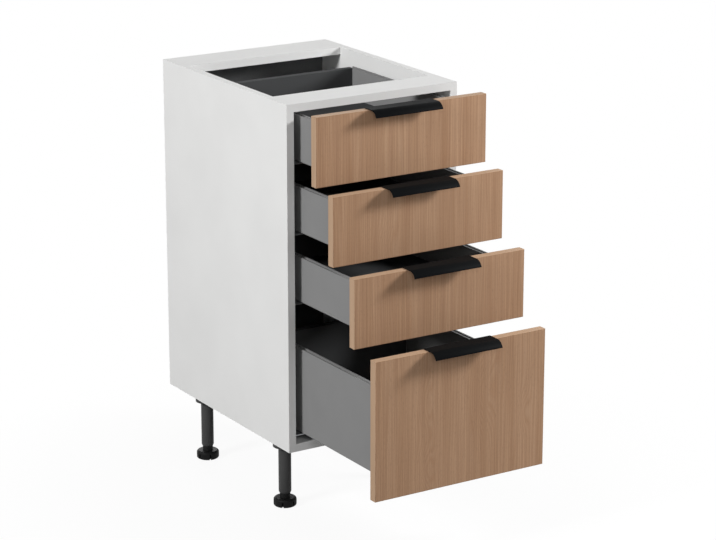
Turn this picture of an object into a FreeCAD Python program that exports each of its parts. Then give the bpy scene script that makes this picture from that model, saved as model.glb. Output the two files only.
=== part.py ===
import FreeCAD, Part

import math
import os
import re

import Sketcher

# Kitchen base cabinet with four drawers. Millimetres, +Z up, front towards -Y.
# The origin lies on the floor, in the middle of the cabinet with its drawers open.
# Carcass pieces are drawn from the carcass's front edges (y = 0) and underside (z = 0).
# Drawer pieces are drawn from the back face of their own front and its lower edge.

SIZES = {
    # carcass
    "carcass_width": 400,
    "carcass_depth": 510,
    "panel": 16,
    "front_rail_depth": 80,
    "rear_rail_depth": 88,
    "back_thickness": 3,
    "back_inset": 9.8,
    "back_edge_slack": 0.3,
    "housing_depth": 6,
    "housing_slack": 0.2,
    # dowels, cams and cam bolts at the ends of the bottom and the rails
    "cam_inset": 50,
    "cam_distance": 24,
    "cam_diameter": 15,
    "cam_floor": 3.5,
    "bolt_diameter": 6,
    "bolt_thread": 5,
    "bolt_tail": 2,
    "dowel_inset": 25,
    "dowel_diameter": 8,
    "dowel_reach": 20,
    "side_floor": 5.5,
    "hole_slack": 0.2,
    "depth_slack": 0.5,
    # legs
    "leg_height": 150,
    "leg_side_inset": 42,
    "leg_front_inset": 90,
    "leg_rear_inset": 90,
    "socket_diameter": 49,
    "socket_height": 20,
    "socket_plate": 3,
    "socket_wall": 2,
    "socket_hub_wall": 1.6,
    "socket_rib": 2,
    "tube_diameter": 26.5,
    "tube_wall": 2.1,
    "tube_slack": 0.6,
    "tube_rise": 28,
    "tube_chamfer": 1.6,
    "tube_taper": 4,
    "stem_slack": 0.6,
    "stem_length": 85,
    "foot_diameter": 48,
    "foot_height": 18,
    "foot_top_round": 5,
    "foot_lower_round": 4,
    "notch_width": 3.5,
    "notch_depth": 9,
    "notch_height": 12.5,
    # drawer fronts
    "low_front": 140,
    "high_front": 284,
    "front_gap": 4,
    "front_reveal": 2,
    "front_thickness": 18,
    "front_round": 1,
    "closed_gap": 2,
    # how far each drawer stands open: carcass front edge to the front's back face
    "open_1": 89,
    "open_2": 150.5,
    "open_3": 227.5,
    "open_4": 302.5,
    # metal drawer sides
    "side_clearance": 16,
    "side_width": 13,
    "side_sheet": 1.2,
    "side_bend": 3,
    "side_return": 8,
    "low_side_rise": 24.5,
    "low_side_drop": 22.5,
    "high_side_rise": 36,
    "high_side_drop": 70,
    "top_lip": 3.75,
    "top_groove_depth": 6,
    "low_groove_stop": 30,
    "high_groove_stop": 48,
    "shelf_rise": 10.8,
    "shelf_reach": 17,
    # drawer base and back
    "base_thickness": 16,
    "back_board": 16,
    "board_slack": 0.2,
    "box_shortfall": 18,
    # runners
    "rail_setback": 3,
    "rail_rear_space": 57,
    "rail_sheet": 1.5,
    "rail_flange_rise": 35,
    "channel_inset": 6,
    "channel_half": 7.5,
    "channel_wall": 1.2,
    "slide_gap": 0.3,
    "member_height": 10.5,
    "member_waist": 11,
    "member_flange": 2.5,
    "member_inset": 5,
    "member_shortfall": 20,
    "carrier_margin": 6,
    # brackets between the metal sides and the front
    "bracket_plate": 1.5,
    "tab_depth": 28,
    "tab_height": 18,
    "tab_margin": 4,
    "tab_slack": 0.4,
    "bracket_screw_spacing": 16,
    # handle
    "handle_width": 155,
    "handle_sheet": 1.8,
    "handle_flange": 25,
    "handle_flat": 21,
    "handle_reach": 26,
    "handle_drop": 13.3,
    "handle_end": 1.1,
    "handle_lip_round": 0.7,
    "handle_pocket_slack": 0.3,
    "handle_screw_inset": 20,
    # screws
    "screw_shank": 3.5,
    "screw_head": 6,
    "screw_head_height": 1.8,
    "screw_grip": 12,
    "leg_screw_head": 5.8,
    "leg_screw_floor": 3,
    "handle_head_height": 1.2,
    "base_screw_spread": 80,
    "base_screw_grip": 20,
    "rail_screw_shank": 5,
    "rail_screw_head": 9,
    "rail_screw_head_height": 2,
    "rail_screw_inset": 37,
    "rail_screw_rise": 24,
    "drive_diameter": 2.2,
    "drive_depth": 0.8,
}

# Sizes that follow from the driving ones.
DERIVED = {
    "carcass_height": "high_front + 3 * low_front + 4 * front_gap",
    "front_reach": "max(open_1; open_2; open_3; open_4) + front_thickness + handle_reach",
    "mid_depth": "(carcass_depth - front_reach) / 2",
    "inner_half": "carcass_width / 2 - panel",
    "housing_width": "back_thickness + housing_slack",
    "housing_front": "carcass_depth - back_inset - housing_width",
    "back_lap": "housing_depth - back_edge_slack",
    "side_hole_depth": "panel - side_floor",
    "cam_centre": "inner_half - cam_distance",
    "leg_offset": "carcass_width / 2 - leg_side_inset",
    "leg_rear": "carcass_depth - leg_rear_inset",
    "tube_bore": "tube_diameter - 2 * tube_wall",
    "tube_length": "leg_height - tube_rise - socket_plate",
    "hub_bore": "tube_diameter + tube_slack",
    "hub_outside": "hub_bore + 2 * socket_hub_wall",
    "socket_inside": "socket_diameter - 2 * socket_wall",
    "leg_screw_ring": "(hub_outside + socket_inside) / 4",
    "leg_screw_depth": "panel - leg_screw_floor",
    "front_half": "carcass_width / 2 - front_reveal",
    "side_outer": "inner_half - side_clearance",
    "side_inner": "side_outer - side_width",
    "board_half": "side_inner - board_slack",
    "shelf_top": "shelf_rise + side_sheet",
    "base_top": "shelf_top + base_thickness",
    "rail_length": "carcass_depth - rail_setback - rail_rear_space",
    "box_length": "rail_length - box_shortfall",
    "channel_centre": "side_inner - channel_inset",
    "channel_outer_half": "channel_half + channel_wall",
    "hem_half": "member_waist / 2 + slide_gap",
    "member_half": "channel_half - slide_gap",
    "carrier_web": "shelf_rise - channel_wall",
    "member_top": "carrier_web - slide_gap",
    "member_bottom": "member_top - member_height",
    "rail_web_top": "member_bottom - slide_gap",
    "rail_bottom": "rail_web_top - rail_sheet",
    "rail_hem": "member_bottom + member_flange + slide_gap",
    "carrier_hem": "member_top - member_flange - slide_gap",
    "member_length": "rail_length - member_shortfall",
    "handle_half": "handle_width / 2",
    "handle_run": "handle_reach - handle_flat",
    "handle_slope": "hypot(handle_run; handle_drop)",
    "handle_bend": "(handle_slope - handle_end) * (handle_slope + handle_run) / handle_drop",
}

FRONT_LEVELS = {
    4: "0",
    3: "high_front + front_gap",
    2: "high_front + low_front + 2 * front_gap",
    1: "high_front + 2 * low_front + 3 * front_gap",
}

NOTCHES = 6
# Each screw foot has been turned by hand, so its notches stand at an angle of its own.
FOOT_TURNS = {"front_left": 47, "front_right": 33, "rear_left": 15, "rear_right": 5}

UP = FreeCAD.Vector(0, 0, 1)
REAR = FreeCAD.Vector(0, 1, 0)
NEAR = 0.001

doc = FreeCAD.newDocument("cabinet")
sheet = doc.addObject("Spreadsheet::Sheet", "Dims")
nodes = []


# ---------------------------------------------------------------- sizes

def fill_sheet():
    """Write the driving dimensions into the sheet, one row each."""
    for row, (alias, value) in enumerate(SIZES.items(), start=1):
        sheet.set("A%d" % row, alias)
        sheet.set("B%d" % row, str(value))
        sheet.setAlias("B%d" % row, alias)
    doc.recompute()


def expand(text):
    """Write a size expression out in the sheet's cells."""
    def word(match):
        name = match.group(0)
        if name in DERIVED:
            return "(" + expand(DERIVED[name]) + ")"
        return "Dims." + name if name in SIZES else name
    return re.sub(r"[a-z]\w*", word, text)


def size(text):
    """The number that a size expression comes to."""
    return float(sheet.evalExpression(expand(text)))


def bind(item, name, text):
    """Tie a property to a size expression."""
    item.setExpression(name, expand(text))


def signed(sign, text):
    """The expression, or its negative on the left side."""
    return text if sign > 0 else "-(" + text + ")"


# ---------------------------------------------------------------- bodies and sketches

def new_body(name):
    """A sub-part that is built feature by feature."""
    item = doc.addObject("PartDesign::Body", name)
    item.Label = name
    nodes.append(item)
    return item


def place(item, across, along, up, turn=0):
    """Put a sub-part where three size expressions say, turned about the vertical."""
    item.Placement = FreeCAD.Placement(FreeCAD.Vector(), FreeCAD.Rotation(UP, turn))
    for axis, text in zip("xyz", (across, along, up)):
        bind(item, "Placement.Base." + axis, text)


def place_in_carcass(item, across="0", up="0"):
    place(item, across, "-mid_depth", "leg_height + " + up)


def place_in_drawer(item, number, up="0"):
    level = "leg_height + " + FRONT_LEVELS[number] + " + " + up
    place(item, "0", "-mid_depth - open_%d" % number, level)


def new_sketch(body, name, role, offset="0"):
    """A sketch on one of the body's own origin planes, moved along its normal."""
    drawing = body.newObject("Sketcher::SketchObject", body.Name + "_" + name)
    plane = next(item for item in body.Origin.OriginFeatures if item.Role == role)
    drawing.AttachmentSupport = (plane, [""])
    drawing.MapMode = "FlatFace"
    bind(drawing, "AttachmentOffset.Base.z", offset)
    return drawing


def pin(drawing, geometry, point, across, up):
    """Hold one point of a sketch at two size expressions from the sketch's origin."""
    for kind, text in (("DistanceX", across), ("DistanceY", up)):
        rule = Sketcher.Constraint(kind, -1, 1, geometry, point, size(text))
        bind(drawing, "Constraints[%d]" % drawing.addConstraint(rule), text)


def polygon(body, name, role, corners, offset="0"):
    """A closed sketch of straight sides, each corner a pair of size expressions."""
    drawing = new_sketch(body, name, role, offset)
    spots = [FreeCAD.Vector(size(across), size(up), 0) for across, up in corners]
    count = len(spots)
    for i in range(count):
        drawing.addGeometry(Part.LineSegment(spots[i], spots[(i + 1) % count]))
    for i in range(count):
        drawing.addConstraint(Sketcher.Constraint("Coincident", i, 2, (i + 1) % count, 1))
    for i, (across, up) in enumerate(corners):
        pin(drawing, i, 1, across, up)
    return drawing


def rectangle(body, name, role, low, high, offset="0"):
    """A sketched rectangle between two corners."""
    corners = [low, (high[0], low[1]), high, (low[0], high[1])]
    return polygon(body, name, role, corners, offset)


def circles(body, name, role, centres, diameter, offset="0"):
    """A sketch of equal circles for a row of holes."""
    drawing = new_sketch(body, name, role, offset)
    for i, (across, up) in enumerate(centres):
        centre = FreeCAD.Vector(size(across), size(up), 0)
        drawing.addGeometry(Part.Circle(centre, UP, size(diameter) / 2))
        pin(drawing, i, 3, across, up)
        rule = Sketcher.Constraint("Diameter", i, size(diameter))
        bind(drawing, "Constraints[%d]" % drawing.addConstraint(rule), diameter)
    return drawing


def pad(body, drawing, length, along=True, middle=False):
    """Raise a sketch along its normal, against it, or half each way."""
    feature = body.newObject("PartDesign::Pad", drawing.Name + "_pad")
    feature.Profile = drawing
    bind(feature, "Length", length)
    feature.Reversed = not along
    feature.Midplane = middle
    return feature


def pocket(body, drawing, depth, along):
    """Cut a sketch into the body along its normal or against it."""
    feature = body.newObject("PartDesign::Pocket", drawing.Name + "_cut")
    feature.Profile = drawing
    bind(feature, "Length", depth)
    feature.Reversed = along
    return feature


def revolve(body, drawing):
    """Turn a sketch about its own vertical axis."""
    feature = body.newObject("PartDesign::Revolution", drawing.Name + "_turned")
    feature.Profile = drawing
    feature.ReferenceAxis = (drawing, ["V_Axis"])
    feature.Angle = 360
    return feature


def mirror(body, originals):
    """Repeat features on the other side of the cabinet's middle plane."""
    feature = body.newObject("PartDesign::Mirrored", body.Name + "_pair")
    feature.Originals = originals
    plane = next(item for item in body.Origin.OriginFeatures if item.Role == "YZ_Plane")
    feature.MirrorPlane = (plane, [""])
    body.Tip = feature
    return feature


def round_edges(body, name, radius, wanted):
    """Round the edges of the body that a test picks by their bounding box."""
    doc.recompute()
    base = body.Tip
    picked = ["Edge%d" % i for i, edge in enumerate(base.Shape.Edges, start=1)
              if wanted(edge.BoundBox)]
    feature = body.newObject("PartDesign::Fillet", body.Name + "_" + name)
    feature.Base = (base, picked)
    bind(feature, "Radius", radius)
    return feature


def runs_along(axis, spots):
    """A test for straight edges along one axis, at any of some places across it."""
    first, second = [other for other in "XYZ" if other != axis]
    places = [(size(a), size(b)) for a, b in spots]

    def test(box):
        low = getattr(box, first + "Min"), getattr(box, second + "Min")
        thin = getattr(box, first + "Length") + getattr(box, second + "Length") < NEAR
        return thin and any(math.dist(low, spot) < NEAR for spot in places)
    return test


# ---------------------------------------------------------------- groups of fasteners

def rod(diameter, length, start, along):
    """A round bar from a point."""
    return Part.makeCylinder(diameter / 2, length, start, along)


def ring(outside, inside, height, centre):
    """An upright tube from a point."""
    return rod(outside, height, centre, UP).cut(rod(inside, height, centre, UP))


def screw(seat, inward, head, shank, grip):
    """A screw whose head, a (diameter, height), bears at a point and whose shank goes inward."""
    top = seat - inward * head[1]
    solid = rod(head[0], head[1], top, inward).fuse(rod(shank, grip, seat, inward))
    return solid.cut(rod(size("drive_diameter"), size("drive_depth"), top, inward))


def group(name, solids):
    """Several like solids under one name."""
    item = doc.addObject("Part::Feature", name)
    item.Label = name
    item.Shape = Part.makeCompound(solids)
    nodes.append(item)
    return item


# ---------------------------------------------------------------- carcass

# Cam and dowel places at the ends of each board between the sides, from the front edge.
BOARD_JOINTS = {
    "bottom_panel": [("cam_inset", "dowel_inset"),
                     ("carcass_depth - cam_inset", "carcass_depth - dowel_inset")],
    "front_rail": [("cam_inset", "dowel_inset")],
    "rear_rail": [("carcass_depth - cam_inset", "carcass_depth - dowel_inset")],
}
BOARD_LEVELS = {"bottom_panel": "0", "front_rail": "carcass_height - panel",
                "rear_rail": "carcass_height - panel"}
RAIL_SCREW_PLACES = ["rail_setback + rail_screw_inset", "rail_setback + rail_length / 2",
                     "rail_setback + rail_length - rail_screw_inset"]
LEG_PLACES = {
    "front_left": ("-leg_offset", "leg_front_inset"),
    "front_right": ("leg_offset", "leg_front_inset"),
    "rear_left": ("-leg_offset", "leg_rear"),
    "rear_right": ("leg_offset", "leg_rear"),
}


def side_rise(number):
    """Height of a drawer's metal sides above the lower edge of its front."""
    return "high_side_rise" if number == 4 else "low_side_rise"


def side_height(number):
    """Height of a drawer's metal sides."""
    if number == 4:
        return "high_front - high_side_rise - high_side_drop"
    return "low_front - low_side_rise - low_side_drop"


def front_height(number):
    return "high_front" if number == 4 else "low_front"


def runner_level(number):
    """Height of a drawer's metal sides above the carcass's underside."""
    return FRONT_LEVELS[number] + " + " + side_rise(number)


def side_panel(name, sign):
    """Side of the carcass, with the back panel's groove and all holes in its inner face."""
    body = new_body(name)
    board = rectangle(body, "board", "YZ_Plane", ("0", "0"), ("carcass_depth", "carcass_height"))
    outward = sign > 0
    pad(body, board, "panel", along=outward)
    housing = rectangle(body, "housing", "YZ_Plane", ("housing_front", "0"),
                        ("housing_front + housing_width", "carcass_height"))
    pocket(body, housing, "housing_depth", outward)
    bolts = []
    dowels = []
    for board_name, joints in BOARD_JOINTS.items():
        level = BOARD_LEVELS[board_name] + " + panel / 2"
        bolts += [(cam, level) for cam, dowel in joints]
        dowels += [(dowel, level) for cam, dowel in joints]
    depth = "side_hole_depth + depth_slack"
    bolt_holes = circles(body, "bolt_holes", "YZ_Plane", bolts, "bolt_thread + hole_slack")
    pocket(body, bolt_holes, depth, outward)
    dowel_holes = circles(body, "dowel_holes", "YZ_Plane", dowels, "dowel_diameter + hole_slack")
    pocket(body, dowel_holes, depth, outward)
    spots = [(along, runner_level(number) + " + rail_screw_rise")
             for number in FRONT_LEVELS for along in RAIL_SCREW_PLACES]
    screw_holes = circles(body, "runner_holes", "YZ_Plane", spots, "rail_screw_shank + hole_slack")
    pocket(body, screw_holes, depth, outward)
    place_in_carcass(body, signed(sign, "inner_half"))


def cross_board(name, front, rear, back_groove):
    """A board between the sides. back_groove is the height of its grooved face, or None."""
    body = new_body(name)
    outline = rectangle(body, "board", "XY_Plane", ("-inner_half", front), ("inner_half", rear))
    pad(body, outline, "panel")
    cams = [(signed(sign, "cam_centre"), cam) for cam, dowel in BOARD_JOINTS[name]
            for sign in (-1, 1)]
    cam_bores = circles(body, "cam_bores", "XY_Plane", cams, "cam_diameter + hole_slack")
    pocket(body, cam_bores, "panel - cam_floor", True)
    for sign in (-1, 1):
        end = signed(sign, "inner_half")
        tag = "left" if sign < 0 else "right"
        bolts = [(cam, "panel / 2") for cam, dowel in BOARD_JOINTS[name]]
        bores = circles(body, "bolts_" + tag, "YZ_Plane", bolts, "bolt_diameter + hole_slack", end)
        pocket(body, bores, "cam_distance", sign < 0)
        dowels = [(dowel, "panel / 2") for cam, dowel in BOARD_JOINTS[name]]
        bores = circles(body, "dowels_" + tag, "YZ_Plane", dowels,
                        "dowel_diameter + hole_slack", end)
        pocket(body, bores, "dowel_reach + depth_slack", sign < 0)
    if back_groove is not None:
        housing = rectangle(body, "housing", "XY_Plane", ("-inner_half", "housing_front"),
                            ("inner_half", "housing_front + housing_width"), back_groove)
        pocket(body, housing, "housing_depth", back_groove == "0")
    place_in_carcass(body, up=BOARD_LEVELS[name])
    return body


def leg_screw_spots():
    """Centres of the screws of all leg sockets, four to a socket."""
    spots = []
    for across, along in LEG_PLACES.values():
        for side in (-1, 1):
            for end in (-1, 1):
                spots.append((across + " + %d * leg_screw_ring * sqrt(0.5)" % side,
                              along + " + %d * leg_screw_ring * sqrt(0.5)" % end))
    return spots


def bottom_panel():
    body = cross_board("bottom_panel", "0", "carcass_depth", "panel")
    holes = circles(body, "leg_holes", "XY_Plane", leg_screw_spots(), "screw_shank + hole_slack")
    pocket(body, holes, "leg_screw_depth + depth_slack", True)


def back_panel():
    """Thin back, held in grooves on all four sides."""
    body = new_body("back_panel")
    half = "inner_half + back_lap"
    outline = rectangle(body, "board", "XZ_Plane", ("-(" + half + ")", "panel - back_lap"),
                        (half, "carcass_height - panel + back_lap"),
                        "-(housing_front + housing_slack / 2)")
    pad(body, outline, "back_thickness", along=False)
    place_in_carcass(body)


def each_board_joint():
    """Every cam and dowel: side, cam place, dowel place and the underside of the board."""
    for name, joints in BOARD_JOINTS.items():
        for cam, dowel in joints:
            for sign in (-1, 1):
                yield sign, size(cam), size(dowel), size(BOARD_LEVELS[name])


def board_fasteners():
    """Dowels, cam housings and cam bolts that hold the bottom and the rails to the sides."""
    dowels = []
    housings = []
    bolts = []
    end = size("inner_half")
    side_depth = size("side_hole_depth")
    middle = size("panel") / 2
    reach = size("cam_distance + bolt_tail")
    for sign, cam, dowel, under in each_board_joint():
        inward = FreeCAD.Vector(-sign, 0, 0)
        start = FreeCAD.Vector(sign * (end + side_depth), dowel, under + middle)
        length = side_depth + size("dowel_reach")
        dowels.append(rod(size("dowel_diameter"), length, start, inward))
        mouth = FreeCAD.Vector(sign * end, cam, under + middle)
        bolt = rod(size("bolt_thread"), side_depth, mouth, -inward)
        bolts.append(bolt.fuse(rod(size("bolt_diameter"), reach, mouth, inward)))
        centre = FreeCAD.Vector(sign * size("cam_centre"), cam, under)
        housing = rod(size("cam_diameter"), size("panel - cam_floor"), centre, UP)
        passage = rod(size("bolt_diameter + hole_slack"), reach + size("depth_slack"),
                      mouth, inward)
        drive = rod(size("bolt_thread"), size("drive_depth"), centre, UP)
        housings.append(housing.cut([passage, drive]))
    for name, solids in (("dowels", dowels), ("cam_housings", housings), ("cam_bolts", bolts)):
        place_in_carcass(group(name, solids))


# ---------------------------------------------------------------- legs

def leg_socket(centre):
    """Socket under the bottom panel: plate, outer wall, hub for the tube and four ribs."""
    height = size("socket_height")
    plate = size("socket_plate")
    outside = size("socket_diameter")
    inside = size("socket_inside")
    hub = size("hub_outside")
    rib = size("socket_rib")
    foot = centre - UP * height
    solid = rod(outside, plate, centre - UP * plate, UP)
    for sign in (-1, 1):
        for wide, deep in ((outside, rib), (rib, outside)):
            corner = foot - FreeCAD.Vector(wide / 2, deep / 2, 0)
            bar = Part.makeBox(wide, deep, height, corner)
            solid = solid.fuse(bar.common(ring(inside, hub, height, foot)))
    solid = solid.fuse([ring(outside, inside, height, foot),
                        ring(hub, size("hub_bore"), height, foot)])
    return solid.removeSplitter()


def leg_sockets():
    """The four sockets, drilled for their screws, and the screws."""
    centres = [FreeCAD.Vector(size(across), size(along), 0)
               for across, along in LEG_PLACES.values()]
    spots = [FreeCAD.Vector(size(across), size(along), -size("socket_plate"))
             for across, along in leg_screw_spots()]
    hole = size("screw_shank + hole_slack")
    drills = [rod(hole, size("socket_plate"), spot, UP) for spot in spots]
    sockets = [leg_socket(centre).cut(drills) for centre in centres]
    place_in_carcass(group("leg_sockets", sockets))
    head = size("leg_screw_head"), size("screw_head_height")
    grip = size("socket_plate + leg_screw_depth")
    screws = [screw(spot, UP, head, size("screw_shank"), grip) for spot in spots]
    place_in_carcass(group("leg_screws", screws))


def leg_tube(place_name):
    """Leg tube, up to the plate of its socket, tapered at its lower end."""
    body = new_body("leg_tube_" + place_name)
    outer = "tube_diameter / 2"
    inner = "tube_bore / 2"
    profile = [(inner, "0"), (outer + " - tube_chamfer", "0"), (outer, "tube_taper"),
               (outer, "tube_length"), (inner, "tube_length")]
    revolve(body, polygon(body, "profile", "XZ_Plane", profile))
    across, along = LEG_PLACES[place_name]
    place(body, across, along + " - mid_depth", "tube_rise")


def leg_foot(place_name):
    """Screw foot: stem that turns in the tube, and a round foot with grip notches."""
    body = new_body("leg_foot_" + place_name)
    rim = "foot_diameter / 2"
    stem = "(tube_bore - stem_slack) / 2"
    top = "foot_height + stem_length"
    profile = [("0", "0"), (rim, "0"), (rim, "foot_height"), (stem, "foot_height"),
               (stem, top), ("0", top)]
    revolve(body, polygon(body, "profile", "XZ_Plane", profile))
    for name, radius, level in (("top_round", "foot_top_round", size("foot_height")),
                                ("lower_round", "foot_lower_round", 0)):
        width = size("foot_diameter")
        round_edges(body, name, radius, lambda box: abs(box.ZMin - level) < NEAR
                    and box.ZLength < NEAR and abs(box.XLength - width) < NEAR)
    notch = rectangle(body, "notch", "XY_Plane",
                      (rim + " - notch_depth", "-notch_width / 2"),
                      (rim + " + notch_depth", "notch_width / 2"))
    cut = pocket(body, notch, "notch_height", True)
    pattern = body.newObject("PartDesign::PolarPattern", body.Name + "_notches")
    pattern.Originals = [cut]
    pattern.Axis = (notch, ["N_Axis"])
    pattern.Angle = 360
    pattern.Occurrences = NOTCHES
    body.Tip = pattern
    across, along = LEG_PLACES[place_name]
    place(body, across, along + " - mid_depth", "0", FOOT_TURNS[place_name])


# ---------------------------------------------------------------- runners

def mirrored(corners):
    """The same outline on the left."""
    return [("-(" + across + ")", up) for across, up in corners]


def from_channel(offset):
    """A place across the runner, measured inward from the middle of its channel."""
    return "channel_centre - (" + offset + ")"


def runner_rails(number):
    """Pair of rails screwed to the sides: flange, web and a channel with inward hems."""
    body = new_body("runner_rails_%d" % number)
    hem_top = "rail_hem + channel_wall"
    profile = [
        ("inner_half", "rail_bottom"),
        ("inner_half", "rail_flange_rise"),
        ("inner_half - rail_sheet", "rail_flange_rise"),
        ("inner_half - rail_sheet", "rail_web_top"),
        (from_channel("-channel_outer_half"), "rail_web_top"),
        (from_channel("-channel_outer_half"), hem_top),
        (from_channel("-hem_half"), hem_top),
        (from_channel("-hem_half"), "rail_hem"),
        (from_channel("-channel_half"), "rail_hem"),
        (from_channel("-channel_half"), "rail_web_top"),
        (from_channel("channel_half"), "rail_web_top"),
        (from_channel("channel_half"), "rail_hem"),
        (from_channel("hem_half"), "rail_hem"),
        (from_channel("hem_half"), hem_top),
        (from_channel("channel_outer_half"), hem_top),
        (from_channel("channel_outer_half"), "rail_bottom"),
    ]
    bar = pad(body, polygon(body, "profile", "XZ_Plane", profile, "-rail_setback"),
              "rail_length", along=False)
    spots = [(along, "rail_screw_rise") for along in RAIL_SCREW_PLACES]
    holes = circles(body, "holes", "YZ_Plane", spots, "rail_screw_shank + hole_slack",
                    "inner_half")
    cut = pocket(body, holes, "rail_sheet", False)
    mirror(body, [bar, cut])
    place_in_carcass(body, up=runner_level(number))


def runner_members(number):
    """Pair of middle members: a bar with a foot in the rail and a head in the carrier."""
    body = new_body("runner_middle_%d" % number)
    foot = "member_bottom + member_flange"
    head = "member_top - member_flange"
    right = [("member_half", "member_bottom"), ("member_half", foot),
             ("member_waist / 2", foot), ("member_waist / 2", head),
             ("member_half", head), ("member_half", "member_top")]
    left = [("-" + across, up) for across, up in reversed(right)]
    profile = [("channel_centre + " + across, up) for across, up in right + left]
    bar = pad(body, polygon(body, "profile", "XZ_Plane", profile), "member_length", along=False)
    mirror(body, [bar])
    travel = "(open_%d - closed_gap) / 2" % number
    place(body, "0", "rail_setback + member_inset - mid_depth - " + travel,
          "leg_height + " + runner_level(number))


def runner_carriers(number):
    """Pair of carriers under the drawer's sides: channels open downwards, with hems."""
    body = new_body("runner_carriers_%d" % number)
    hem_low = "carrier_hem - channel_wall"
    right = [("hem_half", "carrier_hem"), ("hem_half", hem_low),
             ("channel_outer_half", hem_low), ("channel_outer_half", "shelf_rise")]
    inside = [("channel_half", "carrier_web"), ("channel_half", "carrier_hem")]
    outer = [(from_channel(across), up) for across, up in right]
    outer += [(from_channel("-" + across), up) for across, up in reversed(right)]
    inner = [(from_channel("-" + across), up) for across, up in reversed(inside)]
    inner += [(from_channel(across), up) for across, up in inside]
    bar = pad(body, polygon(body, "profile", "XZ_Plane", outer + inner, "-carrier_margin"),
              "box_length - 2 * carrier_margin", along=False)
    mirror(body, [bar])
    place_in_drawer(body, number, side_rise(number))


def rail_screws():
    """Screws of all runner rails, three to a rail."""
    head = size("rail_screw_head"), size("rail_screw_head_height")
    seat = size("inner_half - rail_sheet")
    grip = size("rail_sheet + side_hole_depth")
    screws = []
    for number in FRONT_LEVELS:
        level = size(runner_level(number) + " + rail_screw_rise")
        for along in RAIL_SCREW_PLACES:
            for sign in (-1, 1):
                spot = FreeCAD.Vector(sign * seat, size(along), level)
                outward = FreeCAD.Vector(sign, 0, 0)
                screws.append(screw(spot, outward, head, size("rail_screw_shank"), grip))
    place_in_carcass(group("rail_screws", screws))


# ---------------------------------------------------------------- drawers

def bracket_heights(number):
    """Top of a drawer side's cavity and the middle of the free height between the tabs."""
    cavity = side_height(number) + " - top_groove_depth - side_sheet"
    middle = "(shelf_rise + " + cavity + ") / 2"
    return cavity, middle


def bracket_screw_levels(number):
    """Heights of a bracket's two screws above the lower edge of the metal side."""
    middle = bracket_heights(number)[1]
    return [middle + " - bracket_screw_spacing / 2", middle + " + bracket_screw_spacing / 2"]


def drawer_front(number):
    """Front board, with a recess for the handle's flange and holes for its screws."""
    body = new_body("drawer_front_%d" % number)
    height = front_height(number)
    board = rectangle(body, "board", "XZ_Plane", ("-front_half", "0"), ("front_half", height))
    pad(body, board, "front_thickness")
    face = -size("front_thickness")
    round_edges(body, "edges", "front_round",
                lambda box: box.YLength < NEAR and abs(box.YMin - face) < NEAR)
    half = "handle_half + handle_pocket_slack"
    recess = rectangle(body, "recess", "XZ_Plane",
                       ("-(" + half + ")", height + " - handle_flange - handle_pocket_slack"),
                       (half, height))
    pocket(body, recess, "handle_sheet", True)
    side_middle = "side_inner + side_width / 2"
    spots = [(signed(sign, side_middle), side_rise(number) + " + " + level)
             for sign in (-1, 1) for level in bracket_screw_levels(number)]
    spots += [(signed(sign, "handle_half - handle_screw_inset"), height + " - handle_flange / 2")
              for sign in (-1, 1)]
    holes = circles(body, "holes", "XZ_Plane", spots, "screw_shank + hole_slack")
    pocket(body, holes, "screw_grip + depth_slack", True)
    place_in_drawer(body, number)


def handle(number):
    """Edge pull: flange behind the front, plate over its top edge and a grip curved down."""
    body = new_body("handle_%d" % number)
    bend = "-front_thickness - handle_flat"
    tip = "-front_thickness - handle_reach"
    low = "handle_sheet - handle_drop"
    under_bend = bend + " + handle_sheet * (handle_slope - handle_run) / handle_drop"
    profile = [
        ("0", "-handle_flange"),
        ("0", "handle_sheet"),
        (bend, "handle_sheet"),
        (tip, low),
        (tip + " + handle_sheet * handle_drop / handle_slope",
         low + " - handle_sheet * handle_run / handle_slope"),
        (under_bend, "0"),
        ("-handle_sheet", "0"),
        ("-handle_sheet", "-handle_flange"),
    ]
    pad(body, polygon(body, "profile", "YZ_Plane", profile), "handle_width", middle=True)
    round_edges(body, "upper_bend", "handle_bend", runs_along("X", [profile[2]]))
    round_edges(body, "under_bend", "handle_bend - handle_sheet", runs_along("X", [profile[5]]))
    round_edges(body, "lip", "handle_lip_round", runs_along("X", [profile[3], profile[4]]))
    spots = [(signed(sign, "handle_half - handle_screw_inset"), "-handle_flange / 2")
             for sign in (-1, 1)]
    holes = circles(body, "holes", "XZ_Plane", spots, "screw_shank + hole_slack")
    pocket(body, holes, "handle_sheet", True)
    sinks = circles(body, "sinks", "XZ_Plane", spots, "screw_head + hole_slack")
    pocket(body, sinks, "handle_head_height", True)
    place_in_drawer(body, number, front_height(number))


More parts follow.
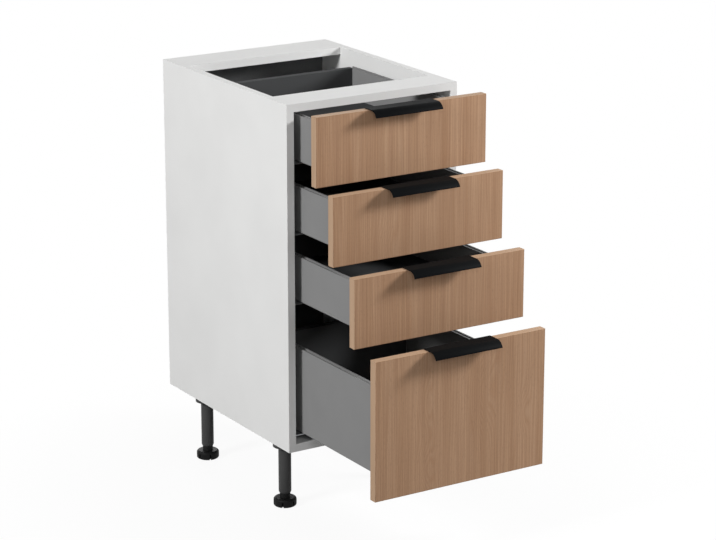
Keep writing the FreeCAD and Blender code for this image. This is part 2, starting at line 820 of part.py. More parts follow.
def drawer_side(number, sign):
    """Hollow metal side: two skins, a grooved top, and a shelf that carries the base."""
    tag = "left" if sign < 0 else "right"
    body = new_body("drawer_side_%s_%d" % (tag, number))
    height = side_height(number)
    ceiling = height + " - side_sheet"
    groove_low = height + " - top_groove_depth"
    groove_under = groove_low + " - side_sheet"
    outer_skin = "side_outer - side_sheet"
    inner_skin = "side_inner + side_sheet"
    outer_lip = "side_outer - top_lip"
    inner_lip = "side_inner + top_lip"
    shelf_edge = "side_inner - shelf_reach"
    return_edge = "side_outer - side_return"
    profile = [
        (return_edge, "0"), ("side_outer", "0"), ("side_outer", height),
        (outer_lip, height), (outer_lip, groove_low), (inner_lip, groove_low),
        (inner_lip, height), ("side_inner", height), ("side_inner", "shelf_top"),
        (shelf_edge, "shelf_top"), (shelf_edge, "shelf_rise"), (inner_skin, "shelf_rise"),
        (inner_skin, ceiling), (inner_lip + " - side_sheet", ceiling),
        (inner_lip + " - side_sheet", groove_under),
        (outer_lip + " + side_sheet", groove_under), (outer_lip + " + side_sheet", ceiling),
        (outer_skin, ceiling), (outer_skin, "side_sheet"), (return_edge, "side_sheet"),
    ]
    infill = [(outer_lip, ceiling), (outer_lip, height), (inner_lip, height),
              (inner_lip, ceiling)]
    corner = [("side_outer", "0"), (outer_skin, "side_sheet")]
    if sign < 0:
        profile = mirrored(profile)
        infill = mirrored(infill)
        corner = mirrored(corner)
    start = "-bracket_plate"
    pad(body, polygon(body, "profile", "XZ_Plane", profile, start),
        "box_length - bracket_plate", along=False)
    stop = "high_groove_stop" if number == 4 else "low_groove_stop"
    pad(body, polygon(body, "infill", "XZ_Plane", infill, start), stop, along=False)
    round_edges(body, "outer_bend", "side_bend", runs_along("Y", [corner[0]]))
    round_edges(body, "inner_bend", "side_bend - side_sheet", runs_along("Y", [corner[1]]))
    place_in_drawer(body, number, side_rise(number))


def base_screw_spots():
    """Centres of the screws that go up through the base into the drawer's back."""
    return [(signed(sign, "base_screw_spread"), "box_length - back_board / 2")
            for sign in (-1, 1)]


def drawer_base(number):
    """Base board, on the shelves of the metal sides."""
    body = new_body("drawer_base_%d" % number)
    outline = rectangle(body, "board", "XY_Plane", ("-board_half", "0"),
                        ("board_half", "box_length"))
    pad(body, outline, "base_thickness")
    holes = circles(body, "holes", "XY_Plane", base_screw_spots(), "screw_shank + hole_slack")
    pocket(body, holes, "base_thickness", True)
    sinks = circles(body, "sinks", "XY_Plane", base_screw_spots(), "screw_head + hole_slack")
    pocket(body, sinks, "screw_head_height", True)
    place_in_drawer(body, number, side_rise(number) + " + shelf_top")


def drawer_back(number):
    """Back board, on the base, its top level with the metal sides."""
    body = new_body("drawer_back_%d" % number)
    outline = rectangle(body, "board", "XY_Plane", ("-board_half", "box_length - back_board"),
                        ("board_half", "box_length"))
    pad(body, outline, side_height(number) + " - base_top")
    holes = circles(body, "holes", "XY_Plane", base_screw_spots(), "screw_shank + hole_slack")
    pocket(body, holes, "base_screw_grip + depth_slack", True)
    place_in_drawer(body, number, side_rise(number) + " + base_top")


def front_bracket(number, sign):
    """Plate against the front's back face, with two tabs inside the hollow metal side."""
    height = size(side_height(number))
    width = size("side_width")
    plate = size("bracket_plate")
    slack = size("tab_slack")
    inner = size("side_inner")
    left = inner if sign > 0 else -inner - width
    solid = Part.makeBox(width, plate, height, FreeCAD.Vector(left, 0, 0))
    tab_width = width - 2 * (size("side_sheet") + slack)
    tab_height = size("tab_height")
    tab_left = left + (width - tab_width) / 2
    cavity = size(bracket_heights(number)[0])
    margin = size("tab_margin")
    for level in (size("shelf_rise") + margin, cavity - margin - tab_height):
        corner = FreeCAD.Vector(tab_left, 0, level)
        solid = solid.fuse(Part.makeBox(tab_width, plate + size("tab_depth"), tab_height, corner))
    middle = sign * (inner + width / 2)
    for text in bracket_screw_levels(number):
        start = FreeCAD.Vector(middle, 0, size(text))
        solid = solid.cut(rod(size("screw_shank + hole_slack"), plate, start, REAR))
    return solid.removeSplitter()


def box_fixings(number):
    """Front brackets and all screws of one drawer."""
    shank = size("screw_shank")
    rise = size(side_rise(number))
    lift = UP * rise
    head = size("screw_head"), size("screw_head_height")
    plate = size("bracket_plate")
    grip = size("screw_grip")
    solids = []
    for sign in (-1, 1):
        bracket = front_bracket(number, sign)
        bracket.translate(lift)
        solids.append(bracket)
        middle = sign * size("side_inner + side_width / 2")
        for text in bracket_screw_levels(number):
            seat = FreeCAD.Vector(middle, plate, size(text)) + lift
            solids.append(screw(seat, -REAR, head, shank, plate + grip))
    flange_head = size("screw_head"), size("handle_head_height")
    flange_left = size("handle_sheet - handle_head_height")
    level = size(front_height(number) + " - handle_flange / 2")
    for sign in (-1, 1):
        across = sign * size("handle_half - handle_screw_inset")
        seat = FreeCAD.Vector(across, -flange_head[1], level)
        solids.append(screw(seat, -REAR, flange_head, shank, flange_left + grip - plate))
    for across, along in base_screw_spots():
        seat = FreeCAD.Vector(size(across), size(along), size("shelf_top") + head[1]) + lift
        length = size("base_thickness - screw_head_height + base_screw_grip")
        solids.append(screw(seat, UP, head, shank, length))
    place_in_drawer(group("box_fixings_%d" % number, solids), number)


# ---------------------------------------------------------------- making and writing

def build():
    fill_sheet()
    side_panel("side_panel_left", -1)
    side_panel("side_panel_right", 1)
    bottom_panel()
    cross_board("front_rail", "0", "front_rail_depth", None)
    cross_board("rear_rail", "carcass_depth - rear_rail_depth", "carcass_depth", "0")
    back_panel()
    board_fasteners()
    leg_sockets()
    for place_name in LEG_PLACES:
        leg_tube(place_name)
        leg_foot(place_name)
    rail_screws()
    for number in sorted(FRONT_LEVELS):
        runner_rails(number)
        runner_members(number)
        runner_carriers(number)
        drawer_front(number)
        handle(number)
        drawer_side(number, -1)
        drawer_side(number, 1)
        drawer_base(number)
        drawer_back(number)
        box_fixings(number)
    doc.recompute()


def check():
    """Stop on any failed feature, any cut that removes nothing and any bad solid."""
    for item in doc.Objects:
        if "Invalid" in item.State or "Error" in item.State:
            raise RuntimeError("failed feature: " + item.Name)
        if item.TypeId == "PartDesign::Pocket":
            if item.Shape.Volume > item.BaseFeature.Shape.Volume - NEAR:
                raise RuntimeError("cut that removes nothing: " + item.Name)
    for item in nodes:
        if item.Shape.isNull() or not item.Shape.isValid():
            raise RuntimeError("bad shape: " + item.Label)


def write():
    os.makedirs("parts", exist_ok=True)
    for item in nodes:
        item.Shape.exportStep(os.path.join("parts", item.Label + ".step"))


build()
check()
write()
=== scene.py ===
import math

import bmesh
import bpy
from mathutils import Matrix, Vector

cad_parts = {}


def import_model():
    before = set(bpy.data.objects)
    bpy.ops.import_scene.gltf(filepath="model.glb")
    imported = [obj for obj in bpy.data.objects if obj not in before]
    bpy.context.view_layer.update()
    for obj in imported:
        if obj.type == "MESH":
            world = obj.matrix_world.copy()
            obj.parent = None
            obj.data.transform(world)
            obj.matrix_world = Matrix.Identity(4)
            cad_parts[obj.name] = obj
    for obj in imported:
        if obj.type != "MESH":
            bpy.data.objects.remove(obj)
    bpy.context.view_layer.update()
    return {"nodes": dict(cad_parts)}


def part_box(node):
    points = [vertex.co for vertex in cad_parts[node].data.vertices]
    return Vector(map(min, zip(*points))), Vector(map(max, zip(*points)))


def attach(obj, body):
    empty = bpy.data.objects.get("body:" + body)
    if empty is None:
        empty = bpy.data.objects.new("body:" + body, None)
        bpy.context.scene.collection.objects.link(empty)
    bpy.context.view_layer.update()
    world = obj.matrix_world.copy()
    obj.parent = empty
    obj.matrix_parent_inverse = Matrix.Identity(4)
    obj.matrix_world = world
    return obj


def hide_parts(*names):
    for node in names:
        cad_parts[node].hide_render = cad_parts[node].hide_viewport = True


# Looks of a kitchen base cabinet whose four drawers stand open.
# Metres, floor at z = 0, front towards -Y. Sizes in millimetres go through mm().

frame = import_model()
nodes = frame["nodes"]

DRAWERS = (1, 2, 3, 4)
CORNERS = ("front_left", "front_right", "rear_left", "rear_right")
WHITE_BOARDS = ("side_panel_left", "side_panel_right", "bottom_panel", "front_rail", "rear_rail")
FASTENERS = ("cam_housings", "cam_bolts", "leg_screws", "rail_screws")
ZINC_IN_DRAWER = ("runner_rails", "runner_middle", "runner_carriers", "box_fixings")


def mm(size):
    """Millimetres in metres."""
    return size / 1000


def per(size):
    """How often a pattern of this size in millimetres fits in a metre."""
    return 1000 / size


# ---------------------------------------------------------------- nodes of a material

# sockets of a Mix node that mixes colours
MIX_FACTOR, MIX_A, MIX_B, MIX_RESULT = 0, 6, 7, 2


def linear(code):
    """Linear RGBA of an sRGB hex colour."""
    shares = [int(code[i:i + 2], 16) / 255 for i in (1, 3, 5)]
    return [s / 12.92 if s <= 0.04045 else ((s + 0.055) / 1.055) ** 2.4 for s in shares] + [1]


def grey(value):
    """Linear grey of a share between 0 and 1."""
    return (value, value, value, 1)


def add(tree, kind, sockets=(), stops=(), **settings):
    """Add a node: sockets take values or other nodes' outputs, stops fill its colour ramp."""
    item = tree.nodes.new("ShaderNode" + kind)
    for name, value in settings.items():
        setattr(item, name, value)
    for name, value in dict(sockets).items():
        if isinstance(value, bpy.types.NodeSocket):
            tree.links.new(value, item.inputs[name])
        else:
            item.inputs[name].default_value = value
    for i, (place, colour) in enumerate(stops):
        steps = item.color_ramp.elements
        step = steps[i] if i < 2 else steps.new(place)
        step.position = place
        step.color = colour
    return item


def new_tree(name):
    """A new material and its empty node tree."""
    material = bpy.data.materials.new(name)
    material.use_nodes = True
    material.node_tree.nodes.clear()
    return material, material.node_tree


def finish_surface(tree, colour, roughness, height, depth, **uniform):
    """Principled surface with a bumped finish. Uniform values stay on the shader's sockets."""
    bump = add(tree, "Bump", {"Height": height, "Distance": depth, "Strength": 1.0})
    sockets = {"Base Color": colour, "Roughness": roughness, "Normal": bump.outputs["Normal"]}
    sockets.update({name.replace("_", " "): value for name, value in uniform.items()})
    shader = add(tree, "BsdfPrincipled", sockets)
    add(tree, "OutputMaterial", {"Surface": shader.outputs["BSDF"]})


# ---------------------------------------------------------------- materials

# thickness of the edging, half width of its glue line, which is drawn wider than real so that it
# shows, and how strongly the line is coloured
WHITE_EDGING, WHITE_LINE, WHITE_GLUE = mm(1.0), mm(0.2), 0.35
OAK_EDGING, OAK_LINE, OAK_GLUE = mm(1.2), mm(0.25), 0.45

# millimetres between growth rings, how many rings a slow noise moves them by, and how dark
# the pores are
RING_SPACING = 6
RING_SWING = 7.0
PORE_DARKNESS = 0.35


def pressed_melamine(name, colour, shade, shine, front_edge=None):
    """Chipboard faced with melamine paper pressed against a fine pearl plate.

    The eye gets an even, faintly mottled sheet of low sheen; the edging's glue line shows as
    a hair.
    """
    material, tree = new_tree(name)
    point = add(tree, "TexCoord").outputs["Object"]
    pearl = add(tree, "TexNoise", {"Vector": point, "Scale": per(1.4), "Detail": 3.0})
    cloud = add(tree, "TexNoise", {"Vector": point, "Scale": per(140), "Detail": 2.0})
    mottle = add(tree, "MapRange", {"Value": cloud.outputs["Fac"], "From Min": 0.3,
                                    "From Max": 0.7, "To Min": 0.0, "To Max": 1.0})
    face = add(tree, "Mix", {MIX_FACTOR: mottle.outputs["Result"], MIX_A: linear(colour),
                             MIX_B: linear(shade)}, data_type="RGBA").outputs[MIX_RESULT]
    if front_edge is not None:
        place = add(tree, "SeparateXYZ", {"Vector": point})
        glue_line = add(tree, "Math", {0: place.outputs["Y"], 1: front_edge + WHITE_EDGING,
                                       2: WHITE_LINE}, operation="COMPARE")
        line = add(tree, "Math", {0: glue_line.outputs["Value"], 1: WHITE_GLUE},
                   operation="MULTIPLY")
        face = add(tree, "Mix", {MIX_FACTOR: line.outputs["Value"], MIX_A: face,
                                 MIX_B: linear("#A9A7A2")}, data_type="RGBA").outputs[MIX_RESULT]
    sheen = add(tree, "MapRange", {"Value": pearl.outputs["Fac"], "To Min": 0.5,
                                   "To Max": 0.62})
    finish_surface(tree, face, sheen.outputs["Result"], pearl.outputs["Fac"], mm(0.03),
                   Specular_IOR_Level=shine)
    return material


def growth_rings(tree, point, local, middle, arches):
    """Share of late wood at each spot: upright lines, bunched by a slow noise, parted by arches.

    Each arch is its place from the front's middle, its half sizes and its depth in rings.
    """
    slow = add(tree, "Mapping", {"Vector": local, "Scale": (per(30), per(30), per(430))})
    field = add(tree, "TexNoise", {"Vector": slow.outputs["Vector"], "Scale": 1.0,
                                   "Detail": 2.0, "Roughness": 0.4})
    across = add(tree, "SeparateXYZ", {"Vector": local})
    straight = add(tree, "Math", {0: across.outputs["X"], 1: per(RING_SPACING)},
                   operation="MULTIPLY")
    count = add(tree, "Math", {0: field.outputs["Fac"], 1: RING_SWING,
                               2: straight.outputs["Value"]}, operation="MULTIPLY_ADD")
    for side, rise, half_width, half_height, depth in arches:
        spot = middle + Vector((mm(side), 0, mm(rise)))
        away = add(tree, "VectorMath", {0: point, 1: spot}, operation="SUBTRACT")
        away = add(tree, "VectorMath", {0: away.outputs["Vector"],
                                        1: (per(half_width), 0, per(half_height))},
                   operation="MULTIPLY")
        away = add(tree, "VectorMath", {0: away.outputs["Vector"], 1: away.outputs["Vector"]},
                   operation="DOT_PRODUCT")
        # a bell: 1 / e to the power of the squared distance
        swell = add(tree, "Math", {0: math.exp(-1), 1: away.outputs["Value"]},
                    operation="POWER")
        count = add(tree, "Math", {0: swell.outputs["Value"], 1: depth,
                                   2: count.outputs["Value"]}, operation="MULTIPLY_ADD")
    phase = add(tree, "Math", {0: count.outputs["Value"]}, operation="FRACT")
    ring = add(tree, "ValToRGB", {"Fac": phase.outputs["Value"]},
               stops=[(0.0, grey(0.1)), (0.6, grey(1.0)), (0.95, grey(0.2))])
    return ring.outputs["Color"]


def grain_colour(tree, local, fibre, rings, pit):
    """Colour of the print: fibre tones under rings, broad bands and dark pores."""
    tone = add(tree, "ValToRGB", {"Fac": fibre},
               stops=[(0.3, linear("#BB9578")), (0.5, linear("#C49F81")),
                      (0.7, linear("#CFAA8B"))])
    ringed = add(tree, "Mix", {MIX_FACTOR: rings, MIX_A: grey(1.0),
                               MIX_B: linear("#F5EFE9")}, data_type="RGBA")
    veined = add(tree, "Mix", {MIX_FACTOR: 1.0, MIX_A: tone.outputs["Color"],
                               MIX_B: ringed.outputs[MIX_RESULT]},
                 data_type="RGBA", blend_type="MULTIPLY")
    broad = add(tree, "Mapping", {"Vector": local, "Scale": (per(24), per(24), per(700))})
    drift = add(tree, "TexNoise", {"Vector": broad.outputs["Vector"], "Scale": 1.0,
                                   "Detail": 2.0})
    dull = add(tree, "ValToRGB", {"Fac": drift.outputs["Fac"]},
               stops=[(0.35, linear("#F2EEEA")), (0.65, grey(1.0))])
    drifted = add(tree, "Mix", {MIX_FACTOR: 1.0, MIX_A: veined.outputs[MIX_RESULT],
                                MIX_B: dull.outputs["Color"]},
                  data_type="RGBA", blend_type="MULTIPLY")
    shade = add(tree, "Math", {0: pit, 1: PORE_DARKNESS}, operation="MULTIPLY")
    pored = add(tree, "Mix", {MIX_FACTOR: shade.outputs["Value"],
                              MIX_A: drifted.outputs[MIX_RESULT], MIX_B: linear("#8A6C53")},
                data_type="RGBA")
    return pored.outputs[MIX_RESULT]


def edging_joint(tree, point, box):
    """Share of the glue joint's colour: a hair along each edge of the front."""
    off = add(tree, "VectorMath", {0: point, 1: (box[0] + box[1]) / 2}, operation="SUBTRACT")
    off = add(tree, "VectorMath", {0: off.outputs["Vector"]}, operation="ABSOLUTE")
    off = add(tree, "SeparateXYZ", {"Vector": off.outputs["Vector"]})
    half = (box[1] - box[0]) / 2
    joints = [add(tree, "Math", {0: off.outputs[axis], 1: reach - OAK_EDGING, 2: OAK_LINE},
                  operation="COMPARE").outputs["Value"]
              for axis, reach in (("X", half.x), ("Z", half.z))]
    joint = add(tree, "Math", {0: joints[0], 1: joints[1]}, operation="MAXIMUM")
    return add(tree, "Math", {0: joint.outputs["Value"], 1: OAK_GLUE},
               operation="MULTIPLY").outputs["Value"]


def oak_print(name, box, shift, arches):
    """Oak-look melamine paper with matching edging, pressed to a low sheen.

    Fine upright lines, here and there an arch or an eye, and dark short pores; the edging is a
    strip of its own, printed plainer, and its glue joint shows as a hair.
    """
    material, tree = new_tree(name)
    middle = (box[0] + box[1]) / 2
    point = add(tree, "TexCoord").outputs["Object"]
    local = add(tree, "VectorMath", {0: point, 1: middle - Vector(shift)},
                operation="SUBTRACT").outputs["Vector"]
    # fibres, drawn coarser than real ones so that they show at this size
    thin = add(tree, "Mapping", {"Vector": local, "Scale": (per(2.6), per(2.6), per(260))})
    fibre = add(tree, "TexNoise", {"Vector": thin.outputs["Vector"], "Scale": 1.0,
                                   "Detail": 3.0, "Roughness": 0.6}).outputs["Fac"]
    # pores: dark dashes a third of a millimetre wide
    dash = add(tree, "Mapping", {"Vector": local, "Scale": (per(0.7), per(0.7), per(9))})
    pore = add(tree, "TexNoise", {"Vector": dash.outputs["Vector"], "Scale": 1.0,
                                  "Detail": 1.0})
    pit = add(tree, "MapRange", {"Value": pore.outputs["Fac"], "From Min": 0.6,
                                 "From Max": 0.72}).outputs["Result"]
    rings = growth_rings(tree, point, local, middle, arches)
    face = add(tree, "Mix", {MIX_FACTOR: edging_joint(tree, point, box),
                             MIX_A: grain_colour(tree, local, fibre, rings, pit),
                             MIX_B: linear("#80604A")}, data_type="RGBA")
    strip = add(tree, "ValToRGB", {"Fac": fibre},
                stops=[(0.3, linear("#AF9176")), (0.7, linear("#BE9F84"))])
    # only the front and back faces carry the print, all other faces the edging
    normal = add(tree, "SeparateXYZ", {"Vector": add(tree, "NewGeometry").outputs["True Normal"]})
    facing = add(tree, "Math", {0: normal.outputs["Y"]}, operation="ABSOLUTE")
    edge = add(tree, "Math", {0: facing.outputs["Value"], 1: 0.6}, operation="LESS_THAN")
    colour = add(tree, "Mix", {MIX_FACTOR: edge.outputs["Value"],
                               MIX_A: face.outputs[MIX_RESULT], MIX_B: strip.outputs["Color"]},
                 data_type="RGBA")
    relief = add(tree, "Math", {0: fibre, 1: pit}, operation="SUBTRACT")
    sheen = add(tree, "MapRange", {"Value": fibre, "To Min": 0.5, "To Max": 0.62})
    finish_surface(tree, colour.outputs[MIX_RESULT], sheen.outputs["Result"],
                   relief.outputs["Value"], mm(0.04), Specular_IOR_Level=0.15)
    return material


def coated_metal(name, colour, dimples, low, high, shine):
    """Metal under an even coat: powder baked on steel, or blasted aluminium, anodised and dyed.

    The eye gets one plain colour under a soft, finely dimpled sheen. The aluminium's dimples are
    drawn coarser than real ones so that they show.
    """
    material, tree = new_tree(name)
    point = add(tree, "TexCoord").outputs["Object"]
    dimple = add(tree, "TexNoise", {"Vector": point, "Scale": per(dimples), "Detail": 2.0})
    cloud = add(tree, "TexNoise", {"Vector": point, "Scale": per(60), "Detail": 2.0})
    deep = [share * 0.92 for share in linear(colour)[:3]] + [1]
    tint = add(tree, "Mix", {MIX_FACTOR: cloud.outputs["Fac"], MIX_A: deep,
                             MIX_B: linear(colour)}, data_type="RGBA")
    sheen = add(tree, "MapRange", {"Value": dimple.outputs["Fac"], "To Min": low,
                                   "To Max": high})
    finish_surface(tree, tint.outputs[MIX_RESULT], sheen.outputs["Result"],
                   dimple.outputs["Fac"], mm(0.02), Specular_IOR_Level=shine)
    return material


def zinc_plate(name):
    """Cold-rolled steel, bright zinc-plated: cool grey metal with cloudy, slightly drawn gloss."""
    material, tree = new_tree(name)
    point = add(tree, "TexCoord").outputs["Object"]
    bloom = add(tree, "TexNoise", {"Vector": point, "Scale": per(9), "Detail": 4.0})
    drawn = add(tree, "Mapping", {"Vector": point, "Scale": (per(0.6), per(40), per(0.6))})
    streak = add(tree, "TexNoise", {"Vector": drawn.outputs["Vector"], "Scale": 1.0,
                                    "Detail": 2.0})
    tint = add(tree, "ValToRGB", {"Fac": bloom.outputs["Fac"]},
               stops=[(0.35, linear("#8E9193")), (0.65, linear("#A9ABAC"))])
    sheen = add(tree, "MapRange", {"Value": bloom.outputs["Fac"], "To Min": 0.34,
                                   "To Max": 0.54})
    finish_surface(tree, tint.outputs["Color"], sheen.outputs["Result"],
                   streak.outputs["Fac"], mm(0.01), Metallic=1.0)
    return material


def moulded_plastic(name, colour, low, high):
    """Injection-moulded ABS with a spark-eroded skin: dull black, grey where light rakes it."""
    material, tree = new_tree(name)
    point = add(tree, "TexCoord").outputs["Object"]
    # the eroded grain, drawn coarser than real so that it shows
    grain = add(tree, "TexNoise", {"Vector": point, "Scale": per(0.7), "Detail": 3.0})
    flow = add(tree, "TexNoise", {"Vector": point, "Scale": per(18), "Detail": 2.0})
    deep = [share * 0.8 for share in linear(colour)[:3]] + [1]
    tint = add(tree, "Mix", {MIX_FACTOR: flow.outputs["Fac"], MIX_A: deep,
                             MIX_B: linear(colour)}, data_type="RGBA")
    sheen = add(tree, "MapRange", {"Value": grain.outputs["Fac"], "To Min": low,
                                   "To Max": high})
    finish_surface(tree, tint.outputs[MIX_RESULT], sheen.outputs["Result"],
                   grain.outputs["Fac"], mm(0.03), Specular_IOR_Level=0.12)
    return material


def lacquered_hardboard(name, box):
    """Hardboard lacquered graphite on its inner face and left raw brown on the outer one.

    The raw side shows matted fibres and dark flecks.
    """
    material, tree = new_tree(name)
    point = add(tree, "TexCoord").outputs["Object"]
    felt = add(tree, "TexNoise", {"Vector": point, "Scale": per(2.5), "Detail": 6.0,
                                  "Roughness": 0.7})
    raw = add(tree, "ValToRGB", {"Fac": felt.outputs["Fac"]},
              stops=[(0.3, linear("#6E4A2E")), (0.5, linear("#8F6743")),
                     (0.75, linear("#A98058"))])
    painted = add(tree, "ValToRGB", {"Fac": felt.outputs["Fac"]},
                  stops=[(0.3, linear("#606162")), (0.7, linear("#686969"))])
    normal = add(tree, "SeparateXYZ", {"Vector": add(tree, "NewGeometry").outputs["True Normal"]})
    rear = add(tree, "Math", {0: normal.outputs["Y"], 1: 0.5}, operation="GREATER_THAN")
    colour = add(tree, "Mix", {MIX_FACTOR: rear.outputs["Value"],
                               MIX_A: painted.outputs["Color"], MIX_B: raw.outputs["Color"]},
                 data_type="RGBA")
    sheen = add(tree, "MapRange", {"Value": rear.outputs["Value"], "To Min": 0.5,
                                   "To Max": 0.85})
    finish_surface(tree, colour.outputs[MIX_RESULT], sheen.outputs["Result"],
                   felt.outputs["Fac"], mm(0.05), Specular_IOR_Level=0.1)
    return material


def turned_beech(name):
    """Beech dowel rod: pinkish wood with short dark rays along it."""
    material, tree = new_tree(name)
    point = add(tree, "TexCoord").outputs["Object"]
    drawn = add(tree, "Mapping", {"Vector": point, "Scale": (per(6), per(0.8), per(0.8))})
    ray = add(tree, "TexNoise", {"Vector": drawn.outputs["Vector"], "Scale": 1.0,
                                 "Detail": 3.0})
    tint = add(tree, "ValToRGB", {"Fac": ray.outputs["Fac"]},
               stops=[(0.35, linear("#B98B62")), (0.65, linear("#D8B289"))])
    finish_surface(tree, tint.outputs["Color"], 0.6, ray.outputs["Fac"], mm(0.05))
    return material


# ---------------------------------------------------------------- screws, brackets and threads

UP = Vector((0, 0, 1))
FRONT = Vector((0, -1, 0))
QUARTER = math.pi / 2
ROUND_SIDES = 32
THREAD_SIDES = 24
SHARP_ANGLE = math.radians(35)
WELD_REACH = mm(0.001)

# the stem of a foot has 0.3 mm of room all round in its tube, so its ridge stays inside that
STEM_RADIUS = mm(10.85)
THREAD_PITCH = mm(3)
THREAD_RIDGE = mm(0.25)
# above the foot's underside, 2 mm clear of its pad, and below the stem's end
THREAD_START = mm(20)
THREAD_STOP = mm(2)

# a drawer's screws are narrower than this and its brackets wider
SCREW_WIDTH_LIMIT = mm(6.5)
# a handle's screws are shorter than this and a bracket's longer
FLANGE_SCREW_LIMIT = mm(14)

# a cross recess: half width of its slots and reach at its floor, as shares of its reach at the
# top, and depth as a share of the head's height
SLOT_SHARE, TAPER_SHARE, DEPTH_SHARE = 0.3, 0.6, 0.7

# a screw's head height, shank radius and the reach of its cross recess
RAIL_SCREW = mm(2), mm(2.5), mm(2.3)
BOARD_SCREW = mm(1.8), mm(1.75), mm(1.6)
FLANGE_SCREW = mm(1.2), mm(1.75), mm(1.6)
CAM_WHEEL = mm(2), mm(7.4), mm(3.6)


def solids_of(node_name):
    """The separate solids of a CAD node: low corner, high corner, points and faces of each."""
    source = bmesh.new()
    source.from_mesh(nodes[node_name].data)
    bmesh.ops.remove_doubles(source, verts=source.verts, dist=WELD_REACH)
    source.verts.index_update()
    solids = []
    seen = set()
    for start in source.verts:
        if start in seen:
            continue
        seen.add(start)
        found = [start]
        for vertex in found:
            for edge in vertex.link_edges:
                other = edge.other_vert(vertex)
                if other not in seen:
                    seen.add(other)
                    found.append(other)
        order = {vertex: i for i, vertex in enumerate(found)}
        faces = {face for vertex in found for face in vertex.link_faces}
        faces = sorted([order[vertex] for vertex in face.verts] for face in faces)
        points = [vertex.co.copy() for vertex in found]
        low = Vector([min(point[i] for point in points) for i in range(3)])
        high = Vector([max(point[i] for point in points) for i in range(3)])
        solids.append((low, high, points, faces))
    source.free()
    return solids


def cross_head(radius, seat, shank, length, arm):
    """A turned, domed head with a cross recess, and its shank, pointing along +Z."""
    half = arm * SLOT_SHARE
    plus = []
    for turn in range(4):
        spin = Matrix.Rotation(turn * QUARTER, 2)
        plus += [spin @ Vector(spot)
                 for spot in ((arm, 0), (arm, half), (half, half), (half, arm))]
    count = len(plus)
    points = [Vector((spot.x * TAPER_SHARE, spot.y * TAPER_SHARE, seat * DEPTH_SHARE))
              for spot in plus]
    points += [Vector((spot.x, spot.y, 0)) for spot in plus]
    # radius and level of each ring, from the recess over the dome to the shank's end
    profile = [(arm * 1.3, 0), (radius * 0.88, seat * 0.14), (radius, seat * 0.45),
               (radius, seat), (shank, seat), (shank, length - shank), (shank * 0.3, length)]
    for wide, level in profile:
        for i in range(ROUND_SIDES):
            turn = 2 * math.pi * i / ROUND_SIDES
            points.append(Vector((wide * math.cos(turn), wide * math.sin(turn), level)))
    faces = [list(range(count))]
    for i in range(count):
        after = (i + 1) % count
        faces.append([i, count + i, count + after, after])
        rim = [2 * count + (2 * i + step) % ROUND_SIDES for step in range(3)]
        faces.append([count + i] + rim + [count + after])
    for row in range(len(profile) - 1):
        first = 2 * count + row * ROUND_SIDES
        for i in range(ROUND_SIDES):
            after = (i + 1) % ROUND_SIDES
            faces.append([first + i, first + ROUND_SIDES + i, first + ROUND_SIDES + after,
                          first + after])
    faces.append([len(points) - ROUND_SIDES + i for i in range(ROUND_SIDES)])
    return points, faces


def thread(radius, ridge, pitch, low, high):
    """A helical ridge round an upright stem, fading into it at both ends."""
    steps = round((high - low) / pitch * THREAD_SIDES)
    # corners of the ridge's section: out from the stem, and up in shares of the pitch
    section = ((-ridge, -0.42), (ridge, -0.14), (ridge, 0.14), (-ridge, 0.42))
    points = []
    for i in range(steps + 1):
        turn = 2 * math.pi * i / THREAD_SIDES
        middle = low + (high - low) * i / steps
        fade = min(1, i / THREAD_SIDES, (steps - i) / THREAD_SIDES)
        for out, rise in section:
            reach = radius - ridge + (ridge + out) * (fade if out > 0 else 1)
            points.append(Vector((reach * math.cos(turn), reach * math.sin(turn),
                                  middle + rise * pitch)))
    faces = [[3, 2, 1, 0]]
    for i in range(steps):
        first = 4 * i
        for k in range(4):
            after = (k + 1) % 4
            faces.append([first + k, first + after, first + 4 + after, first + 4 + k])
    last = 4 * steps
    faces.append([last, last + 1, last + 2, last + 3])
    return points, faces


def set_screw(low, high, ahead, kind):
    """A cross-head screw in the place of the solid between two corners, pointing ahead."""
    seat, shank, arm = kind
    axis = max(range(3), key=lambda i: abs(ahead[i]))
    across = (axis + 1) % 3
    length = high[axis] - low[axis]
    radius = (high[across] - low[across]) / 2
    top = (low + high) / 2
    top[axis] = low[axis] if ahead[axis] > 0 else high[axis]
    turned = ahead.to_track_quat("Z", "Y")
    points, faces = cross_head(radius, seat, shank, length, arm)
    return [top + turned @ point for point in points], faces


def upright_screws(node_name, kind):
    """A cross-head screw or cam, driven upwards, for each solid of a CAD node."""
    return [set_screw(low, high, UP, kind) for low, high, *_ in solids_of(node_name)]


def side_screws(node_name, kind):
    """A cross-head screw, driven outwards into its side panel, for each solid of a CAD node."""
    return [set_screw(low, high, Vector((math.copysign(1, low.x), 0, 0)), kind)
            for low, high, *_ in solids_of(node_name)]


def box_parts(node_name):
    """One drawer's brackets as they are, and a cross-head screw for each of its plain ones."""
    parts = []
    for low, high, points, faces in solids_of(node_name):
        wide, deep, tall = high - low
        if wide > SCREW_WIDTH_LIMIT:
            parts.append((points, faces))
        elif tall > deep:
            parts.append(set_screw(low, high, UP, BOARD_SCREW))
        elif deep < FLANGE_SCREW_LIMIT:
            parts.append(set_screw(low, high, FRONT, FLANGE_SCREW))
        else:
            parts.append(set_screw(low, high, FRONT, BOARD_SCREW))
    return parts


